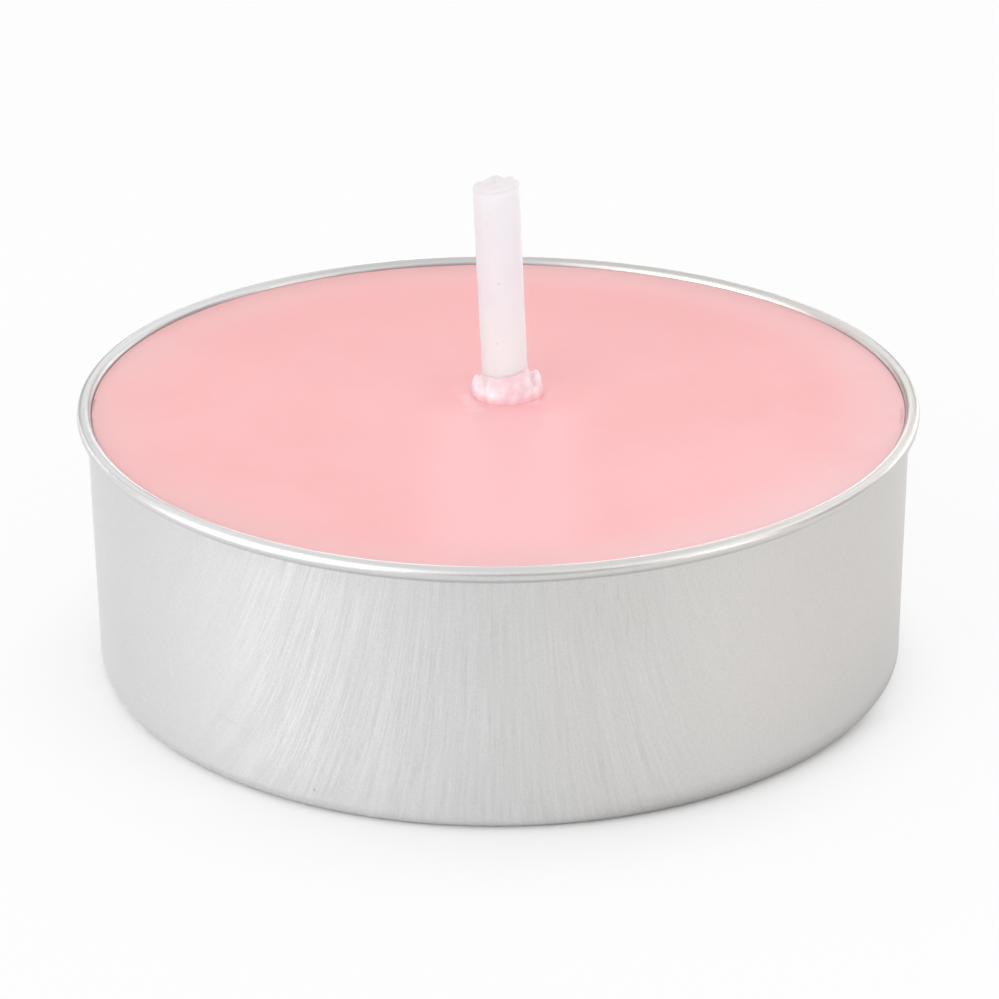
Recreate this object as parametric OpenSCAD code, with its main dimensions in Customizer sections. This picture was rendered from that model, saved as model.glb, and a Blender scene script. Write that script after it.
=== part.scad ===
// Tea light candle: a drawn metal cup with a rolled rim, filled with wax round an upright wick.
// All sizes are in millimetres. The cup stands on z = 0, and its axis is the Z axis.

/* [Cup] */
// Outer diameter over the rolled rim
rim_d = 39; // [32:0.5:60]
// Height of the cup from its foot to the top of the rim
cup_h = 12.75; // [10:0.25:25]
// Thickness of the sheet metal
sheet_t = 0.2; // [0.1:0.02:0.26]
// Outer diameter of the roll along the rim
roll_d = 0.66; // [0.62:0.02:1.2]
// Angle that the roll turns through, over the top and back under to the wall
roll_turn = 284; // [200:2:284]
// Lean of the wall in degrees, wider at the top
wall_lean = 0.8; // [0:0.1:4]
// Outer radius of the bend between the wall and the foot
corner_r = 0.75; // [0.6:0.05:2.5]
// Width of the flat ring that the cup stands on
foot_w = 2.5; // [1.5:0.25:5]
// Height of the cup's middle above the foot ring
floor_rise = 0.3; // [0.1:0.05:0.5]
// Outer radius of the two bends in the step up from the foot ring
step_r = 0.5; // [0.5:0.05:1]
// Length of the straight slope between those two bends
step_slope = 0.1; // [0.05:0.05:0.4]

/* [Wax] */
// Distance from the top of the rim down to the top of the wax
wax_drop = 0.3; // [0.1:0.05:3]
// Gap between the wax and the cup's wall
wax_gap = 0.06; // [0.04:0.02:0.3]
// Radius of the round on the wax's top edge
wax_edge_r = 0.15; // [0.1:0.05:1]

/* [Wick] */
// Diameter of the wick
wick_d = 2.15; // [1.2:0.05:3]
// Height of the wick's tip above the wax
wick_stand = 10.3; // [4:0.5:15]
// Lean of the wick above the wax, in degrees from upright
wick_lean = 2.2; // [1:0.1:12]
// Direction that the wick leans in, in degrees from the X axis
wick_lean_to = 180; // [0:5:355]
// Tilt of the cut at the wick's tip, in degrees, falling the way that the wick leans
wick_cut_tilt = 7; // [0:1:30]
// Distance of the wick to the right of the cup's axis
wick_x = 0.43; // [-2:0.05:2]
// Distance of the wick behind the cup's axis
wick_y = 1.3; // [-2:0.05:2]

/* [Wick sustainer] */
// Diameter of the sustainer's disc
disc_d = 12.5; // [9:0.5:15]
// Thickness of the sustainer's sheet metal
disc_t = 0.25; // [0.15:0.05:0.4]
// Height of the neck's top above the cup's floor
neck_h = 3; // [2:0.25:5]
// Radius of the bend between the disc and the neck, on its upper side
neck_bend_r = 0.35; // [0.15:0.05:0.8]

/* [Wax collar] */
// Width of the crumbled wax between the wick and the collar's outside
collar_w = 0.66; // [0.4:0.02:2]
// Height of its highest crumb above the wax
collar_h = 1.3; // [0.9:0.1:2.5]
// Height of the low skirt that joins the crumbs
collar_skirt_h = 0.45; // [0.2:0.05:0.8]

/* [Fits] */
// Clearance between the wick and what it passes through
wick_fit = 0.02; // [0.01:0.01:0.1]
// Clearance between the wax and the sustainer inside it
cast_fit = 0.02; // [0.01:0.01:0.1]

/* [Hidden] */
$fn = 64;

// Angle of one facet on a rounded outline
bend_step = 9;

// The sheet's bends are drawn along its middle: [centre x, centre z, radius, first angle, last angle, side],
// where side is 1 if the inside of the cup is on the bend's outer face, and -1 if it is on its inner face.
roll_x = rim_d / 2 - roll_d / 2;
roll_z = cup_h - roll_d / 2;
roll_mid = roll_d / 2 - sheet_t / 2;
corner_mid = corner_r - sheet_t / 2;
wall_len = (roll_z - corner_r + (roll_mid + corner_mid) * sin(wall_lean)) / cos(wall_lean);
corner_x = roll_x - (roll_mid + corner_mid) * cos(wall_lean) - wall_len * sin(wall_lean);

step_mid = step_r - sheet_t / 2;
step_slant = atan(step_slope / (2 * step_mid));
step_reach = norm([2 * step_mid, step_slope]);
step_turn = acos((2 * step_mid - floor_rise) / step_reach) - step_slant;
step_w = 2 * step_mid * sin(step_turn) + step_slope * cos(step_turn);
foot_x = corner_x - foot_w;
floor_z = floor_rise + sheet_t;

shoulder_bend = [foot_x - step_w, floor_z - step_r, step_mid, 90, 90 - step_turn, 1];
step_bend = [foot_x, step_r, step_mid, 270 - step_turn, 270, -1];
corner_bend = [corner_x, corner_r, corner_mid, 270, 360 - wall_lean, -1];
roll_bend = [roll_x, roll_z, roll_mid, 180 - wall_lean, 180 - wall_lean - roll_turn, 1];

wax_z = cup_h - wax_drop;
wick_r = wick_d / 2;
neck_r = wick_r + wick_fit + disc_t;
neck_z = floor_z + neck_h;
disc_z = floor_z + disc_t;

// The rounded bend in the wick stands out by half its clearance
wick_knee = wick_fit / 2;
collar_r = wick_r + wick_fit + collar_w;

// Crumbs round the wick: [angle, radius as a share of collar_w, height of the top as a share of collar_h]
CRUMBS = [
    [10, 0.82, 1.00],
    [52, 0.62, 0.72],
    [88, 0.72, 0.60],
    [128, 0.60, 0.74],
    [170, 0.67, 0.86],
    [206, 0.57, 0.62],
    [238, 0.75, 0.80],
    [275, 0.63, 0.58],
    [312, 0.69, 0.68],
    [342, 0.66, 0.84]
];

// Points along one bend, moved towards the inside of the cup by inward.
function bend_points(bend, inward) =
    let (count = ceil(abs(bend[4] - bend[3]) / bend_step))
    let (radius = bend[2] + bend[5] * inward)
    [
        for (i = [0 : count])
            let (angle = bend[3] + (bend[4] - bend[3]) * i / count)
            [bend[0] + radius * cos(angle), bend[1] + radius * sin(angle)]
    ];

// Points along several bends, joined by the straight stretches between them.
function sheet_points(bends, inward) = [for (bend = bends) each bend_points(bend, inward)];

function reversed(points) = [for (i = [len(points) - 1 : -1 : 0]) points[i]];

// Distance from the axis to a line that runs along the wall, inside the sheet's middle by inward.
function wall_x(z, inward) =
    corner_x + (corner_mid - inward) / cos(wall_lean) + (z - corner_r) * tan(wall_lean);

module cup_outline() {
    bends = [shoulder_bend, step_bend, corner_bend, roll_bend];
    inside = sheet_points(bends, sheet_t / 2);
    outside = sheet_points(bends, -sheet_t / 2);
    polygon(concat([[0, floor_z]], inside, reversed(outside), [[0, floor_rise]]));
}

// The casting is smaller than the cup all over by the gap, and has settled onto the floor by as much.
module wax_outline() {
    inward = sheet_t / 2 + wax_gap;
    top = wax_z + wax_gap;
    edge_z = top - wax_edge_r;
    edge_x = wall_x(edge_z, inward) - wax_edge_r / cos(wall_lean);
    edge_bend = [edge_x, edge_z, wax_edge_r, -wall_lean, 90, 0];
    under = sheet_points([shoulder_bend, step_bend, corner_bend], inward);
    translate([0, -wax_gap])
        polygon(concat([[0, floor_z + wax_gap]], under, bend_points(edge_bend, 0), [[0, top]]));
}

// Half section of the sustainer. Its bend is drawn on the upper side, with the sheet below it.
module sustainer_outline() {
    bend = [neck_r + neck_bend_r, disc_z + neck_bend_r, neck_bend_r, 180, 270, 1];
    polygon(concat(
        [[neck_r - disc_t, neck_z], [neck_r, neck_z]],
        bend_points(bend, 0),
        [[disc_d / 2, disc_z], [disc_d / 2, floor_z]],
        reversed(bend_points(bend, disc_t))
    ));
}

// Half section of the hollow that the sustainer leaves in the wax, open to the cup's floor.
module sustainer_hollow_outline() {
    bend = [neck_r + neck_bend_r, disc_z + neck_bend_r, neck_bend_r - cast_fit, 180, 270, 1];
    polygon(concat(
        [[0, 0], [0, neck_z + cast_fit], [neck_r + cast_fit, neck_z + cast_fit]],
        bend_points(bend, 0),
        [[disc_d / 2 + cast_fit, disc_z + cast_fit], [disc_d / 2 + cast_fit, 0]]
    ));
}

module at_wick() {
    translate([wick_x, wick_y, 0])
        children();
}

// The wick above the wax: a straight leaning length with a rounded bend at its foot, thicker by grow.
module leaning_wick(grow) {
    translate([0, 0, wax_z])
        rotate([0, 0, wick_lean_to])
            union() {
                sphere(r = wick_r + grow + wick_knee);
                rotate([0, wick_lean, 0])
                    cylinder(r = wick_r + grow, h = wick_stand + wick_d);
            }
}

// Everything above the slanting cut at the wick's tip.
module above_cut() {
    reach = 4 * wick_d;
    tip_out = wick_stand * tan(wick_lean);
    translate([0, 0, wax_z + wick_stand])
        rotate([0, 0, wick_lean_to])
            translate([tip_out, 0, 0])
                rotate([0, wick_cut_tilt, 0])
                    translate([-reach / 2, -reach / 2, 0])
                        cube([reach, reach, reach]);
}

module cup() {
    color("silver")
        rotate_extrude()
            cup_outline();
}

module wax() {
    color("pink")
        difference() {
            rotate_extrude()
                wax_outline();
            at_wick()
                rotate_extrude()
                    sustainer_hollow_outline();
            at_wick()
                cylinder(r = wick_r + wick_fit, h = cup_h);
        }
}

module wick() {
    color("whitesmoke")
        at_wick()
            difference() {
                union() {
                    translate([0, 0, floor_z])
                        cylinder(r = wick_r, h = wax_z - floor_z);
                    leaning_wick(0);
                }
                above_cut();
            }
}

module wick_sustainer() {
    color("lightsteelblue")
        at_wick()
            rotate_extrude()
                sustainer_outline();
}

// One crumb, inside the collar's outline and with its top at its own height.
module crumb(angle, radius, top) {
    rotate([0, 0, angle])
        translate([collar_r - radius, 0, wax_z + top - radius])
            sphere(r = radius);
}

module wax_collar() {
    color("mistyrose")
        at_wick()
            difference() {
                union() {
                    translate([0, 0, wax_z])
                        cylinder(r1 = collar_r, r2 = wick_r + wick_fit, h = collar_skirt_h);
                    for (shares = CRUMBS)
                        crumb(shares[0], collar_w * shares[1], collar_h * shares[2]);
                }
                translate([-2 * collar_r, -2 * collar_r, 0])
                    cube([4 * collar_r, 4 * collar_r, wax_z]);
                leaning_wick(wick_fit);
            }
}

cup();
wax();
wick();
wick_sustainer();
wax_collar();
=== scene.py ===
import math

import bpy
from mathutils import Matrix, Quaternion, Vector


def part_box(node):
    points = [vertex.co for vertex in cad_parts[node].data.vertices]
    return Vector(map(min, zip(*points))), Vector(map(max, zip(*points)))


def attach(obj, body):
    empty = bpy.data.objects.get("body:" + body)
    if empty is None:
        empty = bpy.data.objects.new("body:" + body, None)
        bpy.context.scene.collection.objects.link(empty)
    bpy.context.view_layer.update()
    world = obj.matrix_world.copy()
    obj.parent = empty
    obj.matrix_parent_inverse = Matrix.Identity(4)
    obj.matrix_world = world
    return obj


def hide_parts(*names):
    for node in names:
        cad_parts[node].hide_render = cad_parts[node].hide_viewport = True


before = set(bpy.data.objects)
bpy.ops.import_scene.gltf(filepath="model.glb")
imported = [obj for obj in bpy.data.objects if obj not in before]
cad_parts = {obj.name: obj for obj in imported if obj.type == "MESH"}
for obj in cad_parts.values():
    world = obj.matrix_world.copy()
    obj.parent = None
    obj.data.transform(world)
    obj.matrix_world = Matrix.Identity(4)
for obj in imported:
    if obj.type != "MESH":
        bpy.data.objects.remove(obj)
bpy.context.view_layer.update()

# Sizes of the candle, in metres
MM = 0.001
CUP_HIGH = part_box("cup")[1]
TAB_LOW, TAB_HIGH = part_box("wick_sustainer")

RIM_R = CUP_HIGH[0]
CUP_H = CUP_HIGH[2]
SHEET_T = 0.2 * MM
ROLL_R = 0.33 * MM
ROLL_TURN = 284
WALL_LEAN = 0.8
CORNER_R = 0.75 * MM
FOOT_W = 2.5 * MM
FLOOR_RISE = 0.3 * MM
STEP_R = 0.5 * MM
STEP_SLOPE = 0.1 * MM
FLOOR_Z = FLOOR_RISE + SHEET_T

WAX_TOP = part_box("wax")[1][2]
WAX_GAP = 0.005 * MM
WAX_EDGE_R = 0.05 * MM

WICK_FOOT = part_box("wick")[0][2]
WICK_R = 1.075 * MM
WICK_X = (TAB_LOW[0] + TAB_HIGH[0]) / 2
WICK_Y = (TAB_LOW[1] + TAB_HIGH[1]) / 2
WICK_LEAN = 2.2
WICK_STAND = 10.3 * MM
WICK_CUT = 7.0
WICK_FIT = 0.02 * MM
TIP_Z = WAX_TOP + WICK_STAND

DISC_R = (TAB_HIGH[0] - TAB_LOW[0]) / 2
DISC_T = 0.25 * MM
NECK_BEND_R = 0.35 * MM

# How many flat faces go round the cup and the wax, and round the wick
RIM_STEPS = 300
WICK_STEPS = 64


# Modelling by hand

def deselect():
    bpy.ops.object.select_all(action="DESELECT")


def edit(piece, mode="VERT"):
    """Opens one piece in edit mode, with nothing selected in it."""
    deselect()
    bpy.context.view_layer.objects.active = piece
    piece.select_set(True)
    bpy.ops.object.mode_set(mode="EDIT")
    bpy.ops.mesh.select_mode(type=mode)
    bpy.ops.mesh.select_all(action="DESELECT")


def close_edit():
    bpy.ops.object.mode_set(mode="OBJECT")


def push(piece, spot, move, reach):
    """Moves the surface at a spot, with what lies round it following less and less out to reach."""
    edit(piece)
    close_edit()
    nearest = min(piece.data.vertices, key=lambda vertex: (vertex.co - Vector(spot)).length)
    nearest.select = True
    bpy.ops.object.mode_set(mode="EDIT")
    bpy.ops.transform.translate(
        value=move, use_proportional_edit=True, proportional_edit_falloff="SMOOTH", proportional_size=reach,
    )
    close_edit()


def add_modifier(piece, kind, **values):
    """Adds a modifier with these values and applies it."""
    deselect()
    bpy.context.view_layer.objects.active = piece
    piece.select_set(True)
    modifier = piece.modifiers.new(kind.title(), kind)
    for key, value in values.items():
        setattr(modifier, key, value)
    bpy.ops.object.modifier_apply(modifier=modifier.name)


def cloud_texture(name, size, depth=2):
    texture = bpy.data.textures.new(name, "CLOUDS")
    texture.noise_scale = size
    texture.noise_depth = depth
    return texture


def weigh(piece, name, weight):
    """Gives a piece a vertex group whose weights come from each vertex's place."""
    group = piece.vertex_groups.new(name=name)
    for vertex in piece.data.vertices:
        group.add([vertex.index], weight(vertex.co), "REPLACE")
    return name


def smooth(piece, angle=40):
    deselect()
    bpy.context.view_layer.objects.active = piece
    piece.select_set(True)
    bpy.ops.object.shade_smooth_by_angle(angle=math.radians(angle))


def bend(x, z, radius, first, last, step=9):
    """Points of a round stretch of an outline, with angles in degrees."""
    count = math.ceil(abs(last - first) / step)
    angles = [math.radians(first + (last - first) * i / count) for i in range(count + 1)]
    return [(x + radius * math.cos(a), z + radius * math.sin(a)) for a in angles]


def drawn_outline(name, points):
    """A chain of edges through (x, z) points, drawn by extruding one vertex from the first to the last."""
    deselect()
    bpy.ops.mesh.primitive_plane_add(size=MM, location=(points[0][0], 0, points[0][1]))
    piece = bpy.context.object
    piece.name = name
    bpy.ops.object.transform_apply(location=True)
    edit(piece)
    bpy.ops.mesh.select_all(action="SELECT")
    bpy.ops.mesh.merge(type="CENTER")
    for (x0, z0), (x1, z1) in zip(points, points[1:]):
        bpy.ops.mesh.extrude_region_move(TRANSFORM_OT_translate={"value": (x1 - x0, 0, z1 - z0)})
    close_edit()
    return piece


def spun(name, points, steps, centre=(0, 0)):
    """A closed shell spun round an upright axis from the outline of its half section."""
    placed = [(x + centre[0], z) for x, z in points]
    piece = drawn_outline(name, placed)
    edit(piece)
    bpy.ops.mesh.select_all(action="SELECT")
    bpy.ops.transform.translate(value=(0, centre[1], 0))
    bpy.ops.mesh.spin(steps=steps, angle=math.tau, center=(centre[0], centre[1], 0), axis=(0, 0, 1))
    bpy.ops.mesh.select_all(action="SELECT")
    bpy.ops.mesh.remove_doubles(threshold=0.002 * MM)
    bpy.ops.mesh.normals_make_consistent(inside=False)
    close_edit()
    piece.data.name = name
    return piece


def place(piece, node, slot, material):
    """Makes a finished piece stand for its solid, with its finish."""
    piece.data.materials.clear()
    piece.data.materials.append(material)
    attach(piece, "root")
    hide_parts(node)


# The cup's section, along the middle of its sheet

def cup_bends():
    """Round stretches from the raised floor to the rim's roll: (x, z, radius, first, last, side)."""
    lean = math.radians(WALL_LEAN)
    roll_x = RIM_R - ROLL_R
    roll_z = CUP_H - ROLL_R
    roll_mid = ROLL_R - SHEET_T / 2
    corner_mid = CORNER_R - SHEET_T / 2
    wall_len = (roll_z - CORNER_R + (roll_mid + corner_mid) * math.sin(lean)) / math.cos(lean)
    corner_x = roll_x - (roll_mid + corner_mid) * math.cos(lean) - wall_len * math.sin(lean)
    step_mid = STEP_R - SHEET_T / 2
    step_reach = math.hypot(2 * step_mid, STEP_SLOPE)
    turn = math.acos((2 * step_mid - FLOOR_RISE) / step_reach) - math.atan(STEP_SLOPE / (2 * step_mid))
    step_w = 2 * step_mid * math.sin(turn) + STEP_SLOPE * math.cos(turn)
    foot_x = corner_x - FOOT_W
    turn = math.degrees(turn)
    return [
        (foot_x - step_w, FLOOR_Z - STEP_R, step_mid, 90, 90 - turn, 1),
        (foot_x, STEP_R, step_mid, 270 - turn, 270, -1),
        (corner_x, CORNER_R, corner_mid, 270, 360 - WALL_LEAN, -1),
        (roll_x, roll_z, roll_mid, 180 - WALL_LEAN, 180 - WALL_LEAN - ROLL_TURN, 1),
    ]


def sheet_side(bends, inward):
    """One side of the sheet, moved from its middle towards the inside of the cup by inward."""
    points = []
    for x, z, radius, first, last, side in bends:
        points += bend(x, z, radius + side * inward, first, last)
    return points


def wall_x(z, inward):
    """How far the wall lies from the axis at a height, measured inside the sheet's middle by inward."""
    corner_x, corner_z, corner_mid = cup_bends()[2][:3]
    lean = math.radians(WALL_LEAN)
    return corner_x + (corner_mid - inward) / math.cos(lean) + (z - corner_z) * math.tan(lean)


def split_long(points, longest):
    """Adds points along stretches of an outline that are longer than this."""
    result = [points[0]]
    for (x0, z0), (x1, z1) in zip(points, points[1:]):
        count = max(1, math.ceil(math.hypot(x1 - x0, z1 - z0) / longest))
        shares = [i / count for i in range(1, count + 1)]
        result += [(x0 + (x1 - x0) * share, z0 + (z1 - z0) * share) for share in shares]
    return result


# The real cup is slightly out of round: waves round it, and each wave's two heights as shares of the radius
OUT_OF_ROUND = [(2, 0.0009, -0.0060), (3, 0.0030, 0.0069)]


def press_out_of_round(piece):
    """Presses the cup or the wax in it slightly out of round, by about a quarter of a millimetre at most."""
    for vertex in piece.data.vertices:
        angle = math.atan2(vertex.co.y, vertex.co.x)
        waves = [a * math.cos(n * angle) + b * math.sin(n * angle) for n, a, b in OUT_OF_ROUND]
        vertex.co.x *= 1 + sum(waves)
        vertex.co.y *= 1 + sum(waves)


def make_cup(material):
    bends = cup_bends()
    outline = [(0, FLOOR_Z)] + sheet_side(bends, SHEET_T / 2)
    outline += sheet_side(bends, -SHEET_T / 2)[::-1] + [(0, FLOOR_RISE)]
    cup = spun("cup_pressed", split_long(outline, 1.5 * MM), RIM_STEPS)
    press_out_of_round(cup)
    add_modifier(
        cup, "DISPLACE", texture=cloud_texture("wall_dents", 6 * MM), texture_coords="LOCAL",
        strength=0.03 * MM, mid_level=0.5,
        vertex_group=weigh(cup, "wall", wall_weight),
    )
    smooth(cup, 50)
    place(cup, "cup", "cup_metal", material)


def wall_weight(co):
    """0 near the cup's foot, rising to 1 up its wall."""
    return min(1, max(0, (co.z - 1.5 * MM) / (3 * MM)))


def make_wax(material):
    bends = cup_bends()[:3]
    inward = SHEET_T / 2 + WAX_GAP
    edge_z = WAX_TOP - WAX_EDGE_R
    edge_x = wall_x(edge_z, inward) - WAX_EDGE_R / math.cos(math.radians(WALL_LEAN))
    under = [(x, z - WAX_GAP) for x, z in sheet_side(bends, inward)]
    edge = bend(edge_x, edge_z, WAX_EDGE_R, -WALL_LEAN, 90)
    outline = [(0, FLOOR_Z)] + under + edge + [(0, WAX_TOP)]
    wax = spun("wax_casting", split_long(outline, 0.8 * MM), RIM_STEPS)
    press_out_of_round(wax)
    hollow = make_hollow()
    add_modifier(wax, "BOOLEAN", operation="DIFFERENCE", object=hollow, solver="EXACT")
    bpy.data.objects.remove(hollow)
    add_modifier(
        wax, "DISPLACE", texture=cloud_texture("wax_edge_wear", 1.1 * MM), texture_coords="LOCAL",
        strength=0.04 * MM, mid_level=0.6, vertex_group=weigh(wax, "edge", edge_weight),
    )
    smooth(wax, 40)
    place(wax, "wax", "pink_wax", material)


def edge_weight(co):
    """1 at the wax's top outer edge, falling to 0 towards its middle and its foot."""
    inner = (math.hypot(co.x, co.y) - (RIM_R - 1.4 * MM)) / (0.5 * MM)
    upper = (co.z - (WAX_TOP - 2 * MM)) / (1.5 * MM)
    return max(0, min(1, inner, upper))


def make_hollow():
    """The space that the wick and its sustainer take up in the wax."""
    neck_r = WICK_R + WICK_FIT + DISC_T + WICK_FIT
    disc_z = TAB_LOW[2] + DISC_T
    neck_z = TAB_HIGH[2] + WICK_FIT
    disc_r = DISC_R + WICK_FIT
    root = bend(neck_r + NECK_BEND_R, disc_z + NECK_BEND_R, NECK_BEND_R - WICK_FIT, 180, 270)
    outline = [(0, 0), (0, WAX_TOP + MM), (WICK_R + WICK_FIT, WAX_TOP + MM), (WICK_R + WICK_FIT, neck_z)]
    outline += [(neck_r, neck_z)] + root + [(disc_r, disc_z + WICK_FIT), (disc_r, 0), (0, 0)]
    return spun("wick_hollow", outline, 72, (WICK_X, WICK_Y))


# Rings of the round edge at the wick's cut, as width and rise in mm, and the flat rings inside it
TIP_ROUND = [(0.02, 0.035), (0.035, 0.025), (0.05, 0.01), (0.12, 0)] + 3 * [(0.18, 0)] + [(0.14, 0)]

# Lumps and dips that the scissors left at the tip, in mm from its middle: x, y, rise, reach
TIP_LUMPS = [
    (0.00, 0.95, 0.06, 0.35), (0.39, 0.90, -0.09, 0.26), (0.75, 0.70, 0.07, 0.26),
    (-0.55, 0.85, -0.05, 0.40), (-1.00, 0.10, -0.05, 0.30), (0.10, -0.30, 0.04, 0.40),
    (-0.50, -0.75, 0.05, 0.35), (0.60, -0.40, -0.04, 0.30),
]

# Rings of the wick's mesh in the wax and above it
RINGS_IN_WAX = 12
RINGS_ABOVE = 44


def make_wick(material):
    deselect()
    bpy.ops.mesh.primitive_circle_add(
        vertices=WICK_STEPS, radius=WICK_R, fill_type="NGON", location=(WICK_X, WICK_Y, WICK_FOOT),
    )
    wick = bpy.context.object
    wick.name = "wick_waxed"
    bpy.ops.object.transform_apply(location=True)
    edit(wick, "FACE")
    bpy.ops.mesh.select_all(action="SELECT")
    rise = (WAX_TOP - WICK_FOOT) / RINGS_IN_WAX
    for _ in range(RINGS_IN_WAX):
        bpy.ops.mesh.extrude_region_move(TRANSFORM_OT_translate={"value": (0, 0, rise)})
    slant = math.tan(math.radians(WICK_LEAN))
    edge_rise = sum(rise for _, rise in TIP_ROUND) * MM
    step = (WICK_STAND - edge_rise) / RINGS_ABOVE
    for _ in range(RINGS_ABOVE):
        bpy.ops.mesh.extrude_region_move(TRANSFORM_OT_translate={"value": (-step * slant, 0, step)})
    tip = Vector((WICK_X - WICK_STAND * slant, WICK_Y, TIP_Z))
    bpy.ops.transform.rotate(
        value=math.radians(WICK_CUT), orient_axis="Y", center_override=tip - Vector((0, 0, edge_rise)),
    )
    for width, rise in TIP_ROUND:
        bpy.ops.mesh.inset(thickness=width * MM, depth=rise * MM)
    bpy.ops.mesh.poke()
    bpy.ops.mesh.select_all(action="SELECT")
    bpy.ops.mesh.normals_make_consistent(inside=False)
    close_edit()
    add_modifier(
        wick, "DISPLACE", texture=cloud_texture("wick_lumps", 0.9 * MM), texture_coords="LOCAL",
        strength=0.05 * MM, mid_level=0.6,
        vertex_group=weigh(wick, "stem", stem_weight),
    )
    for x, y, rise, reach in TIP_LUMPS:
        push(wick, tip + Vector((x, y, 0)) * MM, (0, 0, rise * MM), reach * MM)
    smooth(wick, 50)
    place(wick, "wick", "wick_cotton", material)


def stem_weight(co):
    """0 in the wax, rising to 1 at 1 mm above it."""
    return min(1, max(0, (co.z - WAX_TOP) / MM))


# Crumbs of wax pushed up round the wick: angle in degrees, then radius, distance from the wick's middle and
# height in mm
CRUMBS = [
    (6, 0.34, 1.42, 1.12), (352, 0.32, 1.46, 1.02), (22, 0.30, 1.34, 0.90), (336, 0.34, 1.40, 0.52),
    (48, 0.33, 1.28, 0.74), (88, 0.33, 1.26, 0.62), (124, 0.30, 1.26, 0.70), (158, 0.30, 1.24, 0.74),
    (178, 0.30, 1.34, 0.92), (194, 0.30, 1.32, 0.74), (212, 0.36, 1.26, 0.52), (232, 0.36, 1.14, 1.10),
    (243, 0.30, 1.36, 0.40), (258, 0.30, 1.30, 0.34), (272, 0.33, 1.16, 0.90), (284, 0.30, 1.34, 0.34),
    (298, 0.34, 1.16, 0.92), (314, 0.30, 1.30, 0.42), (325, 0.32, 1.22, 1.04),
]

# The two cones under the crumbs, a low skirt and a steep core: foot radius, top radius and height, in mm
COLLAR_CONES = [(1.98, 1.22, 0.72), (1.54, 0.80, 2.64)]

# How deep the cones start in the wax, and where they are cut off there, so that collar and wax look like one
COLLAR_ROOT = 0.48 * MM
COLLAR_SINK = 0.12 * MM

# How far the collar reaches into the wick, so that no gap shows between them
COLLAR_GRIP = 0.06 * MM


def make_collar(material):
    lumps = []
    for wide, narrow, tall in COLLAR_CONES:
        deselect()
        bpy.ops.mesh.primitive_cone_add(
            vertices=WICK_STEPS, radius1=wide * MM, radius2=narrow * MM, depth=tall * MM,
            location=(WICK_X, WICK_Y, WAX_TOP - COLLAR_ROOT + tall / 2 * MM),
        )
        lumps.append(bpy.context.object)
    for angle, radius, out, height in CRUMBS:
        turn = math.radians(angle)
        bpy.ops.mesh.primitive_ico_sphere_add(
            subdivisions=4, radius=radius * MM, scale=(1, 1, height / radius),
            location=(WICK_X + out * MM * math.cos(turn), WICK_Y + out * MM * math.sin(turn), WAX_TOP),
        )
        lumps.append(bpy.context.object)
    deselect()
    for lump in lumps:
        lump.select_set(True)
    bpy.context.view_layer.objects.active = lumps[0]
    bpy.ops.object.join()
    collar = bpy.context.object
    collar.name = "wax_crumbs"
    bpy.ops.object.transform_apply(location=True, rotation=True, scale=True)
    add_modifier(collar, "REMESH", mode="VOXEL", voxel_size=0.035 * MM)
    add_modifier(collar, "SMOOTH", factor=0.5, iterations=36)
    add_modifier(
        collar, "DISPLACE", texture=cloud_texture("crumb_lumps", 0.4 * MM, 3), texture_coords="LOCAL",
        strength=0.05 * MM, mid_level=0.5,
    )
    edit(collar)
    bpy.ops.mesh.select_all(action="SELECT")
    bpy.ops.mesh.bisect(
        plane_co=(0, 0, WAX_TOP - COLLAR_SINK), plane_no=(0, 0, -1), use_fill=True, clear_outer=True,
        threshold=0.0001 * MM,
    )
    close_edit()
    bore = wick_bore()
    add_modifier(collar, "BOOLEAN", operation="DIFFERENCE", object=bore, solver="EXACT")
    bpy.data.objects.remove(bore)
    smooth(collar, 60)
    place(collar, "wax_collar", "collar_wax", material)


def wick_bore():
    """The leaning hole through the crumbs."""
    deselect()
    bpy.ops.mesh.primitive_cylinder_add(
        vertices=WICK_STEPS, radius=WICK_R - COLLAR_GRIP, depth=6 * MM, location=(WICK_X, WICK_Y, WAX_TOP),
        rotation=(0, -math.radians(WICK_LEAN), 0),
    )
    bore = bpy.context.object
    bpy.ops.object.transform_apply(location=True, rotation=True)
    return bore


# Materials

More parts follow.
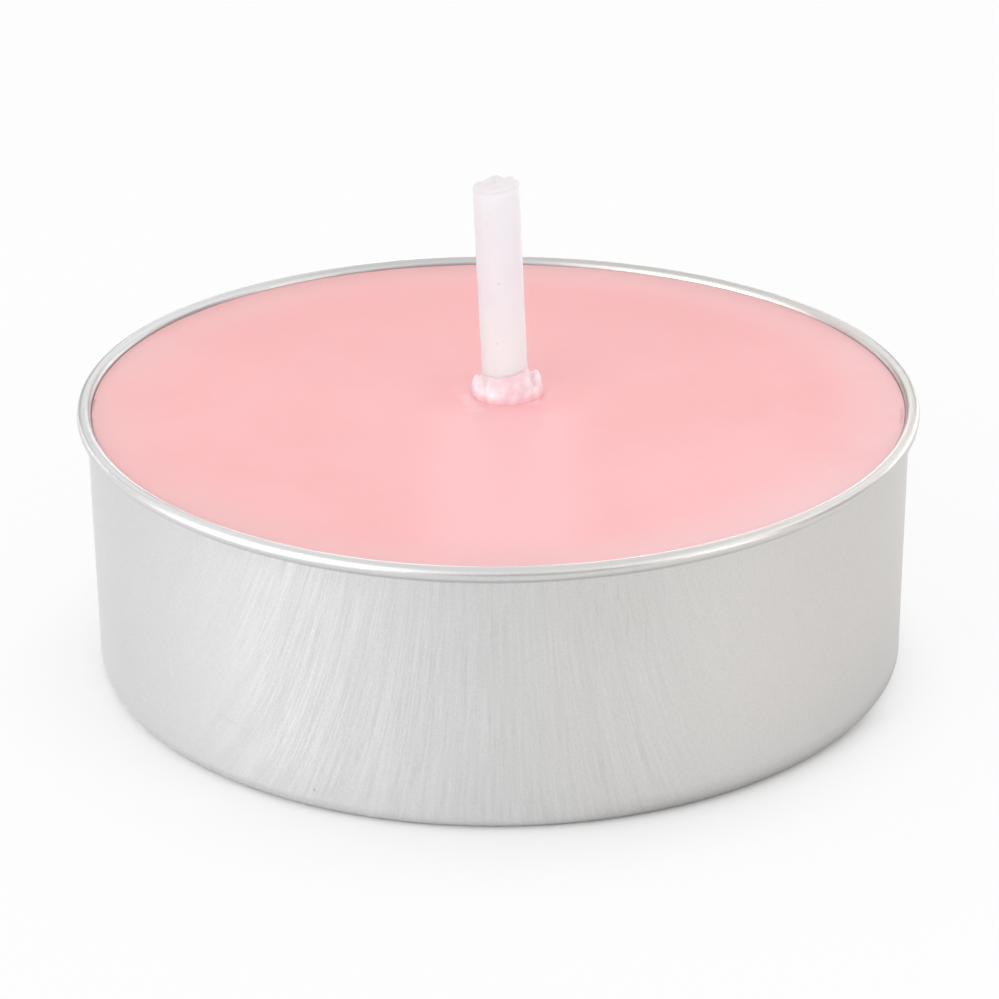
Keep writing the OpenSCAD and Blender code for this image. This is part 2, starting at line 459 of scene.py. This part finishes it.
class Nodes:
    """A node tree with short calls for adding and joining its nodes."""

    def __init__(self, tree):
        self.tree = tree

    def add(self, kind, values=(), **settings):
        node = self.tree.nodes.new(kind)
        for key, value in settings.items():
            setattr(node, key, value)
        for key, value in dict(values).items():
            if isinstance(value, bpy.types.NodeSocket):
                self.tree.links.new(value, node.inputs[key])
            else:
                node.inputs[key].default_value = value
        return node

    def math(self, operation, first, second=0.0, third=0.0, clamp=False):
        values = {0: first, 1: second, 2: third}
        return self.add("ShaderNodeMath", values, operation=operation, use_clamp=clamp).outputs[0]

    def vector(self, operation, values):
        return self.add("ShaderNodeVectorMath", values, operation=operation).outputs

    def times(self, first, second):
        return self.math("MULTIPLY", first, second)

    def shaded(self, factor, colour, shade):
        """The colour multiplied by a shade, as far as the factor says."""
        return self.mix(factor, colour, shade, blend_type="MULTIPLY")

    def parts(self, place):
        """A place's X, Y and Z."""
        return self.add("ShaderNodeSeparateXYZ", {0: place}).outputs

    def span(self, value, low, high, to_low=0.0, to_high=1.0, smooth_ends=True):
        node = self.add(
            "ShaderNodeMapRange",
            {"Value": value, "From Min": low, "From Max": high, "To Min": to_low, "To Max": to_high},
            interpolation_type="SMOOTHSTEP" if smooth_ends else "LINEAR",
        )
        return node.outputs["Result"]

    def mix(self, factor, first, second, blend_type="MIX"):
        node = self.add("ShaderNodeMix", data_type="RGBA", blend_type=blend_type)
        for socket, value in ((node.inputs[0], factor), (node.inputs[6], first), (node.inputs[7], second)):
            if isinstance(value, bpy.types.NodeSocket):
                self.tree.links.new(value, socket)
            else:
                socket.default_value = value
        return node.outputs[2]

    def noise(self, vector, scale, detail=2.0, roughness=0.5):
        node = self.add(
            "ShaderNodeTexNoise",
            {"Vector": vector, "Scale": scale, "Detail": detail, "Roughness": roughness},
        )
        return node.outputs["Fac"]

    def place(self):
        return self.add("ShaderNodeTexCoord").outputs["Object"]

    def spot(self, place, middle, full, reach):
        """1 within full of a place, falling to 0 at reach, all in mm."""
        away = self.vector("DISTANCE", {0: place, 1: Vector(middle) * MM})["Value"]
        return self.span(away, full * MM, reach * MM, 1.0, 0.0)

    def from_axis(self, place):
        """Distance from the Z axis."""
        flat = self.vector("MULTIPLY", {0: place, 1: (1, 1, 0)})[0]
        return self.vector("LENGTH", {0: flat})["Value"]

    def unrolled(self, place, height):
        """The way round the rim and a height, as a flat place."""
        parts = self.parts(place)
        turn = self.math("ARCTAN2", parts["Y"], parts["X"])
        return self.add("ShaderNodeCombineXYZ", {"X": self.times(turn, RIM_R), "Y": height}).outputs[0]

    def line_mask(self, place, start, end, width):
        """1 on a straight line between two places, falling to 0 at its width, all in mm."""
        start, end = Vector(start) * MM, Vector(end) * MM
        run = end - start
        from_start = self.vector("SUBTRACT", {0: place, 1: start})[0]
        along = self.vector("DOT_PRODUCT", {0: from_start, 1: run / run.dot(run)})["Value"]
        share = self.math("ADD", along, 0.0, clamp=True)
        nearest = self.vector("SCALE", {0: run, 3: share})[0]
        away = self.vector("DISTANCE", {0: from_start, 1: nearest})["Value"]
        return self.span(away, 0.2 * width * MM, width * MM, 1.0, 0.0)


def srgb(red, green, blue):
    """A colour from its display values, 0 to 255."""
    def linear(value):
        value /= 255
        return value / 12.92 if value <= 0.04045 else ((value + 0.055) / 1.055) ** 2.4
    return (linear(red), linear(green), linear(blue), 1.0)


def grey(level):
    """A grey that multiplies a colour by this level."""
    return (level, level, level, 1)


def new_group(name, inputs, outputs):
    """A shader node group with named number, vector and colour sockets."""
    group = bpy.data.node_groups.new(name, "ShaderNodeTree")
    for socket, kind, value in inputs:
        made = group.interface.new_socket(name=socket, in_out="INPUT", socket_type="NodeSocket" + kind)
        if value is not None:
            made.default_value = value
    for socket, kind in outputs:
        group.interface.new_socket(name=socket, in_out="OUTPUT", socket_type="NodeSocket" + kind)
    nodes = Nodes(group)
    return group, nodes, nodes.add("NodeGroupInput").outputs, nodes.add("NodeGroupOutput").inputs


def new_material(name):
    material = bpy.data.materials.new(name)
    material.use_nodes = True
    nodes = Nodes(material.node_tree)
    shader = material.node_tree.nodes["Principled BSDF"]
    return material, nodes, shader


def connect(nodes, shader, colour, bump_height, strength, distance, roughness=None):
    """Joins a material's colour, its bump and, where it varies, its roughness to the shader."""
    bump = nodes.add("ShaderNodeBump", {"Height": bump_height, "Strength": strength, "Distance": distance})
    nodes.tree.links.new(colour, shader.inputs["Base Color"])
    nodes.tree.links.new(bump.outputs[0], shader.inputs["Normal"])
    if roughness is not None:
        nodes.tree.links.new(roughness, shader.inputs["Roughness"])


def glow_through(shader, weight, radius, scale):
    """Light that spreads under the surface of a waxy piece."""
    shader.inputs["Subsurface Weight"].default_value = weight
    shader.inputs["Subsurface Radius"].default_value = radius
    shader.inputs["Subsurface Scale"].default_value = scale


def rolling_grain_group():
    """Grain of drawn sheet: straight lines up the wall's front and back that lie level at its sides."""
    group, nodes, given, out = new_group(
        "rolling_grain",
        [("Place", "Vector", None), ("Radius", "Float", 0.019)],
        [("Coarse", "Float"), ("Fine", "Float")],
    )
    parts = nodes.parts(given["Place"])
    stretch = nodes.math("ADD", nodes.math("DIVIDE", parts["Z"], given["Radius"]), 1.0)
    across = nodes.times(parts["X"], stretch)
    along = nodes.times(nodes.times(parts["Y"], stretch), 0.045)
    flat = nodes.add("ShaderNodeCombineXYZ", {"X": across, "Y": along}).outputs[0]
    nodes.tree.links.new(nodes.noise(flat, 1500, 3, 0.6), out["Coarse"])
    nodes.tree.links.new(nodes.noise(flat, 6000, 2, 0.7), out["Fine"])
    return group


# Scratches on the wall, from and to as azimuth in degrees and height in mm, then width in mm and shade
WALL_SCRATCHES = [
    ((-129.93, 3.37), (-127.92, 3.23), 0.05, 0.9), ((-141.52, 4.97), (-141.21, 4.18), 0.05, 1.1),
    ((-149.75, 2.71), (-148.91, 2.55), 0.05, 1.1), ((-150.5, 2.07), (-148.5, 1.87), 0.05, 1.1),
    ((-148.57, 2.37), (-147.61, 2.29), 0.05, 1.1), ((-146.64, 2.42), (-145.53, 2.14), 0.05, 1.08),
    ((-153.32, 2.14), (-152.92, 2.07), 0.05, 1.1), ((-77.55, 10.92), (-77.14, 10.15), 0.08, 0.93),
    ((-74.5, 11.5), (-74.49, 10.79), 0.07, 0.93), ((-73.12, 9.97), (-73.22, 9.07), 0.07, 0.93),
    ((-70.64, 9.65), (-70.59, 8.46), 0.06, 0.94), ((-79.91, 11.56), (-79.51, 11.17), 0.07, 0.94),
    ((-76.37, 11.58), (-76.36, 11.25), 0.08, 0.93), ((-115.53, 1.14), (-115.42, 1.09), 0.06, 0.6),
]

# Scratches along the roll, the same way but with the distance from the axis for the height
ROLL_SCRATCHES = [
    ((-164.6, 19.22), (-159.0, 19.21), 0.04, 0.88), ((-159.0, 19.21), (-150.0, 19.18), 0.04, 0.88),
    ((-150.0, 19.18), (-140.5, 19.12), 0.04, 0.9), ((-166.9, 19.34), (-166.2, 19.33), 0.04, 0.86),
    ((-164.9, 19.34), (-164.3, 19.34), 0.04, 0.86), ((-162.9, 19.34), (-162.3, 19.33), 0.04, 0.86),
]

# Where short brown streaks lie under the rim, in mm
TARNISH_AT = (5.4, -18.1, 10.6)


def arc_place(azimuth, height):
    """A place on the unrolled wall, in mm."""
    return (math.radians(azimuth) * RIM_R / MM, height, 0)


def scratches_and_painted_shade(nodes, unrolled, colour, marks):
    """The colour with each listed line drawn on it at its own shade: scratches, and painted shade along the
    wax's edge.
    """
    for start, end, width, level in marks:
        mask = nodes.line_mask(unrolled, arc_place(*start), arc_place(*end), width)
        colour = nodes.shaded(mask, colour, grey(level))
    return colour


def drawing_lines(nodes, parts, grain, on_wall):
    """Drawing lines from 0 to 1, clear in the middle of the wall, faint at its sides and gone on the roll."""
    lines = nodes.math("ADD", nodes.times(grain["Coarse"], 0.45), nodes.times(grain["Fine"], 0.55))
    lines = nodes.span(lines, 0.33, 0.67, smooth_ends=False)
    to_right = nodes.span(parts["X"], 5 * MM, 10 * MM)
    to_left = nodes.span(parts["X"], -15 * MM, -8 * MM, 1.0, 0.0)
    faint = nodes.times(nodes.math("ADD", to_right, to_left), 0.85)
    clear = nodes.times(nodes.math("SUBTRACT", 1.0, faint), on_wall)
    return nodes.math("MULTIPLY_ADD", nodes.math("SUBTRACT", lines, 0.5), clear, 0.5)


def sheet_grey(nodes, place, lines, speckle, on_wall):
    """Bright grey with its lines, soft patches and, on the wall, fine speckles."""
    patches = nodes.span(nodes.noise(place, 260, 3, 0.6), 0.3, 0.7, 0.0, 0.5)
    bright = nodes.mix(lines, srgb(207, 207, 207), srgb(222, 222, 222))
    bright = nodes.mix(patches, bright, srgb(215, 215, 215))
    speckles = nodes.mix(nodes.span(speckle, 0.35, 0.65), grey(0.935), grey(1.0))
    return nodes.shaded(on_wall, bright, speckles)


def roll_painted_shade_and_wax_film(nodes, place, parts):
    """Painted shade greying the roll's inner half, and a film of wax along its inner edge in front."""
    radius = nodes.from_axis(place)
    inner_half = nodes.span(radius, RIM_R - 1.3 * ROLL_R, RIM_R - 0.9 * ROLL_R, 1.0, 0.0)
    inner_edge = nodes.span(radius, RIM_R - 1.8 * ROLL_R, RIM_R - 1.4 * ROLL_R, 1.0, 0.0)
    in_front = nodes.span(parts["Y"], -14 * MM, -7 * MM, 1.0, 0.0)
    # Painted shade: the roll's inner half greyer than its outer half, dimming its reflection
    tone = nodes.mix(inner_half, grey(0.95), grey(0.82))
    return nodes.mix(nodes.times(inner_edge, in_front), tone, srgb(205, 190, 192))


def wall_painted_light_and_shade(nodes, parts, bright, on_wall):
    """Painted warm light on the right; painted shade under the rim, in the roll's groove and along the foot.
    """
    # Painted warm light: the metal warmer to the right, less so near the foot
    warmth = nodes.span(parts["X"], -4 * MM, 14 * MM, 0.0, 0.9)
    warmth = nodes.times(warmth, nodes.span(parts["Z"], 0, 5 * MM, 0.45, 1.0))
    bright = nodes.shaded(warmth, bright, srgb(255, 251, 247))
    # Painted shade: the wall darker from 5 mm up to under the rim
    under_rim = nodes.span(parts["Z"], 5 * MM, 12 * MM)
    bright = nodes.shaded(nodes.times(under_rim, on_wall), bright, srgb(252, 252, 252))
    # Painted shadow in the groove just under the roll
    groove_shadow = nodes.times(nodes.span(parts["Z"], CUP_H - 0.86 * MM, CUP_H - 0.73 * MM), on_wall)
    bright = nodes.shaded(nodes.times(groove_shadow, 0.8), bright, srgb(196, 193, 190))
    # Painted shade along the foot at the right front, where it mirrors the floor's contact shadow
    low = nodes.span(parts["Z"], 0.3 * MM, 1.3 * MM, 1.0, 0.0)
    foot_shade = nodes.times(low, nodes.span(parts["X"], 0, 9 * MM))
    return nodes.shaded(nodes.times(foot_shade, 0.9), bright, srgb(226, 225, 224))


def cup_metal():
    material, nodes, shader = new_material("drawn_sheet")
    place = nodes.place()
    parts = nodes.parts(place)
    grain_node = nodes.add("ShaderNodeGroup", node_tree=rolling_grain_group())
    nodes.tree.links.new(place, grain_node.inputs["Place"])
    grain = grain_node.outputs
    on_wall = nodes.span(parts["Z"], CUP_H - 2.2 * ROLL_R, CUP_H - 1.9 * ROLL_R, 1.0, 0.0)
    lines = drawing_lines(nodes, parts, grain, on_wall)
    speckle = nodes.noise(place, 13000, 1, 0.7)
    bright = sheet_grey(nodes, place, lines, speckle, on_wall)
    bright = nodes.mix(on_wall, nodes.shaded(1.0, bright, roll_painted_shade_and_wax_film(nodes, place, parts)), bright)
    bright = wall_painted_light_and_shade(nodes, parts, bright, on_wall)
    tarnish = nodes.times(nodes.span(grain["Fine"], 0.5, 0.66), nodes.spot(place, TARNISH_AT, 0.6, 3.2))
    bright = nodes.mix(nodes.times(tarnish, 0.45), bright, srgb(196, 186, 178))
    bright = scratches_and_painted_shade(nodes, nodes.unrolled(place, parts["Z"]), bright, WALL_SCRATCHES)
    bright = scratches_and_painted_shade(nodes, nodes.unrolled(place, nodes.from_axis(place)), bright, ROLL_SCRATCHES)
    roughness = nodes.math("ADD", nodes.times(on_wall, 0.02), 0.36)
    roughness = nodes.math("ADD", roughness, nodes.times(lines, 0.08))
    height = nodes.math("ADD", nodes.times(lines, on_wall), nodes.times(speckle, 0.7))
    connect(nodes, shader, bright, height, 0.2, 0.05 * MM, roughness)
    shader.inputs["Metallic"].default_value = 1.0
    return material


# Paler smears on the wax beside the wick, in mm: x, y, full width, reach
WAX_SMEARS = [
    (-1.28, 0.75, 0.15, 0.55), (-1.2, 0.0, 0.2, 0.55), (-0.95, -0.75, 0.2, 0.6), (1.75, 0.1, 0.1, 0.5),
]

# Painted shade in the shadowed gap along the wax's edge: azimuth and distance from the axis, width and shade
WAX_EDGE_SHADE = [
    ((177.5, 18.74), (179.9, 18.74), 0.12, 0.7), ((-179.9, 18.74), (-178.5, 18.74), 0.12, 0.8),
    ((-175.5, 18.76), (-172.0, 18.76), 0.12, 0.72), ((-9.0, 18.72), (-3.5, 18.72), 0.1, 0.85),
]


def on_wax(x, y):
    """A place on top of the wax, in mm."""
    return (x, y, WAX_TOP / MM)


def wax_painted_light_and_smears(nodes, place, parts, colour):
    """Painted reflection of the wick in front of it, painted light at the front right and round it, and paler
    smears.
    """
    # Painted reflection of the wick: a paler strip from the wick towards the front
    from_strip = nodes.math("ABSOLUTE", nodes.math("SUBTRACT", parts["X"], 0.3 * MM))
    strip = nodes.times(nodes.span(from_strip, 0.8 * MM, 5 * MM, 1.0, 0.0),
                        nodes.span(parts["Y"], -2 * MM, 0.6 * MM, 1.0, 0.0))
    colour = nodes.mix(nodes.times(strip, 0.95), colour, srgb(247, 187, 191))
    # Painted sheen at the front right of the wax
    front_right = nodes.spot(place, on_wax(9.5, -10.0), 2.0, 9.0)
    colour = nodes.mix(nodes.times(front_right, 0.4), colour, srgb(248, 188, 192))
    # Painted light: the wax paler round the wick
    round_wick = nodes.spot(place, on_wax(WICK_X / MM, WICK_Y / MM), 1.5, 2.9)
    colour = nodes.mix(nodes.times(round_wick, 0.5), colour, srgb(247, 188, 192))
    for x, y, full, reach in WAX_SMEARS:
        smear = nodes.times(nodes.spot(place, on_wax(x, y), full, reach), 0.6)
        colour = nodes.mix(smear, colour, srgb(247, 200, 205))
    return colour


def pink_wax():
    material, nodes, shader = new_material("pink_wax")
    place = nodes.place()
    parts = nodes.parts(place)
    radius = nodes.from_axis(place)
    clouds = nodes.noise(place, 140, 3, 0.55)
    grain = nodes.noise(place, 5200, 2, 0.6)
    colour = nodes.mix(nodes.span(clouds, 0.35, 0.65), srgb(240, 170, 172), srgb(242, 176, 178))
    # Painted shade: the wax darker towards the back
    colour = nodes.mix(nodes.span(parts["Y"], 1 * MM, 15 * MM, 0.0, 0.75), colour, srgb(235, 163, 165))
    colour = wax_painted_light_and_smears(nodes, place, parts, colour)
    # The wax paler along its outer edge, and paler still to the right there with painted sheen
    pale_edge = nodes.span(radius, 14.5 * MM, 18.6 * MM)
    pale_edge = nodes.times(pale_edge, nodes.span(clouds, 0.25, 0.75, 0.5, 0.95))
    rightward = nodes.span(parts["X"], -5 * MM, 16 * MM)
    pale_edge_and_sheen_colour = nodes.mix(rightward, srgb(233, 180, 180), srgb(239, 194, 196))
    colour = nodes.mix(pale_edge, colour, pale_edge_and_sheen_colour)
    # Painted shade along the wax's edge, where the gap to the cup lies in shadow
    colour = scratches_and_painted_shade(nodes, nodes.unrolled(place, radius), colour, WAX_EDGE_SHADE)
    # Painted shade: the wax's side below its top edge a darker pink, as it lies in the gap's shade
    on_top = nodes.span(parts["Z"], WAX_TOP - 0.6 * MM, WAX_TOP - 0.25 * MM)
    colour = nodes.mix(on_top, srgb(230, 145, 152), colour)
    roughness = nodes.math("ADD", nodes.times(clouds, 0.12), 0.4)
    height = nodes.math("ADD", nodes.times(clouds, 0.5), nodes.times(grain, 0.05))
    connect(nodes, shader, colour, height, 0.12, 0.2 * MM, roughness)
    glow_through(shader, 0.25, (1.0, 0.45, 0.4), 1.2 * MM)
    shader.inputs["IOR"].default_value = 1.44
    return material


# Tiny grey specks in the wick's wax: place in mm and strength
WICK_SPECKS = [
    ((-0.01, 1.5, 22.74), 0.8), ((0.99, 1.3, 22.86), 0.9),
    ((0.14, 0.23, 18.24), 0.4), ((0.05, 0.23, 15.3), 0.4),
]


def wick_cotton():
    material, nodes, shader = new_material("waxed_cotton")
    place = nodes.place()
    parts = nodes.parts(place)
    lumps = nodes.noise(place, 700, 3, 0.6)
    threads = nodes.add("ShaderNodeMapping", {"Vector": place, "Scale": (1, 1, 0.12)}).outputs[0]
    threads = nodes.noise(threads, 4200, 2, 0.6)
    # Painted shade: the wick darker from its foot towards its top
    foot = nodes.mix(lumps, srgb(239, 246, 249), srgb(243, 250, 252))
    stem = nodes.mix(lumps, srgb(232, 235, 239), srgb(239, 243, 247))
    colour = nodes.mix(nodes.span(parts["Z"], WAX_TOP + 1 * MM, WAX_TOP + 7 * MM), foot, stem)
    # Painted shade: the cut end of the wick darker, so the light there doesn't wash it white
    from_tip = nodes.math("SUBTRACT", parts["X"], WICK_X - 0.4 * MM)
    cut_rise = nodes.times(from_tip, math.tan(math.radians(WICK_CUT)))
    cut = nodes.span(nodes.math("SUBTRACT", parts["Z"], cut_rise), TIP_Z - 0.28 * MM, TIP_Z - 0.06 * MM)
    colour = nodes.mix(cut, colour, srgb(225, 220, 222))
    for middle, strength in WICK_SPECKS:
        speck = nodes.times(nodes.spot(place, middle, 0.03, 0.075), strength)
        colour = nodes.mix(speck, colour, srgb(180, 172, 176))
    height = nodes.math("ADD", nodes.times(lumps, 0.8), nodes.times(threads, 0.3))
    connect(nodes, shader, colour, height, 0.25, 0.08 * MM)
    glow_through(shader, 0.75, (1.0, 0.85, 0.85), 0.5 * MM)
    shader.inputs["Roughness"].default_value = 0.5
    return material


# Where the collar's whitest crumb lies, in mm
WHITE_CRUMB = (-0.4, 0.05, 12.75)


def collar_wax():
    material, nodes, shader = new_material("crumbled_wax")
    place = nodes.place()
    parts = nodes.parts(place)
    patches = nodes.noise(place, 900, 2, 0.5)
    colour = nodes.mix(nodes.span(patches, 0.35, 0.65), srgb(244, 223, 228), srgb(248, 233, 237))
    rightward = nodes.span(parts["X"], WICK_X - 0.7 * MM, WICK_X + 0.2 * MM, 0.0, 0.85)
    colour = nodes.mix(rightward, colour, srgb(246, 214, 220))
    far_right = nodes.span(parts["X"], WICK_X + 0.5 * MM, WICK_X + 1.2 * MM, 0.0, 0.9)
    colour = nodes.mix(far_right, colour, srgb(248, 229, 232))
    colour = nodes.mix(nodes.spot(place, WHITE_CRUMB, 0.15, 0.75), colour, srgb(250, 247, 250))
    above_wax = nodes.span(parts["Z"], WAX_TOP + 0.08 * MM, WAX_TOP + 0.45 * MM)
    colour = nodes.mix(above_wax, srgb(249, 203, 209), colour)
    connect(nodes, shader, colour, patches, 0.12, 0.1 * MM)
    glow_through(shader, 0.3, (1.0, 0.8, 0.8), 0.1 * MM)
    shader.inputs["Roughness"].default_value = 0.35
    return material


def sustainer_metal():
    material, nodes, shader = new_material("tinned_sheet")
    spangle = nodes.noise(nodes.place(), 900, 3, 0.6)
    colour = nodes.mix(spangle, srgb(190, 191, 194), srgb(226, 227, 229))
    nodes.tree.links.new(colour, shader.inputs["Base Color"])
    nodes.tree.links.new(nodes.span(spangle, 0, 1, 0.25, 0.45), shader.inputs["Roughness"])
    shader.inputs["Metallic"].default_value = 1.0
    return material


# Camera, floor and light

# The camera's distance from a point on the cup's axis, its height in degrees and the turns from that point
CAMERA_AWAY = 200 * MM
CAMERA_LIFT = 22.097
AIM_Z = 12 * MM
CAMERA_YAW = 0.0284
CAMERA_PITCH = -1.1637
CAMERA_ROLL = -0.4113

# The lens as the picture's width and the focal length in pixels, on a sensor in mm
FOCAL_PIXELS = 4305.28
IMAGE_W = 999
SENSOR_W = 36


def make_camera():
    """A camera at the photograph's angle, aimed at a point on the cup's axis and then turned a little."""
    lift = math.radians(CAMERA_LIFT)
    aim = Vector((0, 0, AIM_Z))
    spot = aim + CAMERA_AWAY * Vector((0, -math.cos(lift), math.sin(lift)))
    ahead = (aim - spot).normalized()
    right = Vector((1, 0, 0))
    above = right.cross(ahead)
    ahead += math.tan(math.radians(CAMERA_YAW)) * right + math.tan(math.radians(CAMERA_PITCH)) * above
    turn = ahead.to_track_quat("-Z", "Y") @ Quaternion((0, 0, 1), math.radians(CAMERA_ROLL))
    deselect()
    bpy.ops.object.camera_add(location=spot, rotation=turn.to_euler())
    camera = bpy.context.object
    camera.data.sensor_width = SENSOR_W
    camera.data.lens = FOCAL_PIXELS * SENSOR_W / IMAGE_W
    camera.data.clip_start = 0.01
    camera.data.clip_end = 20
    bpy.context.scene.camera = camera


# The floor's radius in metres, and its matt grey
FLOOR_R = 1.6
FLOOR_GREY = 0.93

# Share of the floor's look that is plain white, which no shadow darkens, and how bright that white is
FLOOR_WHITE = 0.84
WHITE_LEVEL = 0.985

# Where that white fades in: as the camera sees it, from a point near the axis, and in gloss, from the axis
SEEN_FADE_MIDDLE = (-1.4 * MM, -2.8 * MM, 0)
SEEN_FADE = (15.5 * MM, 23.5 * MM)
REFLECTED_FADE = (20 * MM, 55 * MM)

# The dark line where the cup stands: how far from the axis it fades out, and how far back it ends
CONTACT_FADE = (18.7 * MM, 20 * MM)
CONTACT_ENDS = (-10 * MM, -6 * MM)


def make_floor():
    deselect()
    bpy.ops.mesh.primitive_circle_add(vertices=96, radius=FLOOR_R, fill_type="NGON", location=(0, 0, 0))
    floor = bpy.context.object
    floor.name = "floor"
    material = bpy.data.materials.new("white_floor")
    material.use_nodes = True
    nodes = Nodes(material.node_tree)
    nodes.tree.nodes.remove(nodes.tree.nodes["Principled BSDF"])
    paper = nodes.add("ShaderNodeBsdfDiffuse", {"Color": grey(FLOOR_GREY)}).outputs[0]
    white = nodes.add("ShaderNodeEmission", {"Strength": WHITE_LEVEL}).outputs[0]
    place = nodes.place()
    radius = nodes.from_axis(place)
    away = nodes.vector("DISTANCE", {0: place, 1: SEEN_FADE_MIDDLE})["Value"]
    path = nodes.add("ShaderNodeLightPath").outputs
    reflected = nodes.math("MAXIMUM", path["Is Glossy Ray"], path["Is Transmission Ray"])
    reflected = nodes.times(reflected, nodes.span(radius, *REFLECTED_FADE, 0.0, FLOOR_WHITE))
    seen = nodes.times(path["Is Camera Ray"], nodes.span(away, *SEEN_FADE, 0.0, FLOOR_WHITE))
    behind = nodes.span(nodes.parts(place)["Y"], *CONTACT_ENDS)
    seen = nodes.times(seen, nodes.math("MAXIMUM", nodes.span(radius, *CONTACT_FADE), behind))
    share = nodes.math("MAXIMUM", seen, reflected)
    surface = nodes.add("ShaderNodeMixShader", {0: share, 1: paper, 2: white}).outputs[0]
    nodes.tree.links.new(surface, nodes.tree.nodes["Material Output"].inputs["Surface"])
    floor.data.materials.append(material)


# How far the lamps stand from the candle, in metres
LAMPS_AWAY = 0.6


def softbox(name, azimuth, lift, width, height, watts, lights=True):
    """A lamp that faces the candle. A reflector, which doesn't light it, only shows in its gloss."""
    turn, rise = math.radians(azimuth), math.radians(lift)
    way = Vector((math.cos(turn) * math.cos(rise), math.sin(turn) * math.cos(rise), math.sin(rise)))
    facing = (-way).to_track_quat("-Z", "Y").to_euler()
    deselect()
    bpy.ops.object.light_add(type="AREA", location=way * LAMPS_AWAY, rotation=facing)
    lamp = bpy.context.object
    lamp.name = name
    lamp.data.shape = "RECTANGLE"
    lamp.data.size = width
    lamp.data.size_y = height
    lamp.data.energy = watts
    lamp.visible_diffuse = lights


# Lamps round the candle: name, azimuth and height in degrees, width and height in metres, watts
SOFTBOXES = [
    ("left_front_softbox", 225, 30, 0.42, 0.3, 0.595),
    ("right_front_softbox", 315, 30, 0.42, 0.3, 0.232),
    ("right_back_softbox", 45, 8, 0.4, 0.14, 0.547),
    ("left_front_card", 230, 8, 0.2, 0.12, 0.367),
    ("right_front_card", 330, 8, 0.2, 0.12, 0.482),
]

# Reflectors, listed the same way, which only show in the gloss of the metal and the wax
REFLECTORS = [
    ("back_card", 90, 8, 0.2, 0.12, 0.325),
    ("left_back_card", 140, 8, 0.2, 0.12, 0.255),
    ("left_card", 185, 8, 0.2, 0.12, 0.457),
    ("left_strip", 205, 8, 0.2, 0.12, 1.27),
    ("high_right_card", 0, 34, 0.3, 0.24, 0.193),
    ("high_right_back_card", 60, 34, 0.3, 0.24, 0.135),
    ("high_left_back_card", 120, 34, 0.3, 0.24, 0.187),
    ("high_left_card", 180, 34, 0.3, 0.24, 0.146),
]

# The studio is dark round its foot and white overhead, between these heights in degrees
DARK_BELOW = 6
WHITE_ABOVE = 26


def make_light():
    world = bpy.data.worlds.new("studio")
    bpy.context.scene.world = world
    world.use_nodes = True
    nodes = Nodes(world.node_tree)
    way = nodes.add("ShaderNodeTexCoord").outputs["Generated"]
    rise = nodes.parts(way)["Z"]
    low, high = math.sin(math.radians(DARK_BELOW)), math.sin(math.radians(WHITE_ABOVE))
    camera_ray = nodes.add("ShaderNodeLightPath").outputs["Is Camera Ray"]
    level = nodes.math("MAXIMUM", nodes.span(rise, low, high), camera_ray)
    background = world.node_tree.nodes["Background"]
    background.inputs["Color"].default_value = (1, 1, 1, 1)
    world.node_tree.links.new(level, background.inputs["Strength"])
    for lamp in SOFTBOXES:
        softbox(*lamp)
    for card in REFLECTORS:
        softbox(*card, lights=False)


bpy.context.scene.view_settings.view_transform = "Standard"
make_camera()
make_floor()
make_light()
make_cup(cup_metal())
make_wax(pink_wax())
make_wick(wick_cotton())
make_collar(collar_wax())

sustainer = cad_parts["wick_sustainer"]
tin = sustainer_metal()
for material_slot in sustainer.material_slots:
    material_slot.material = tin
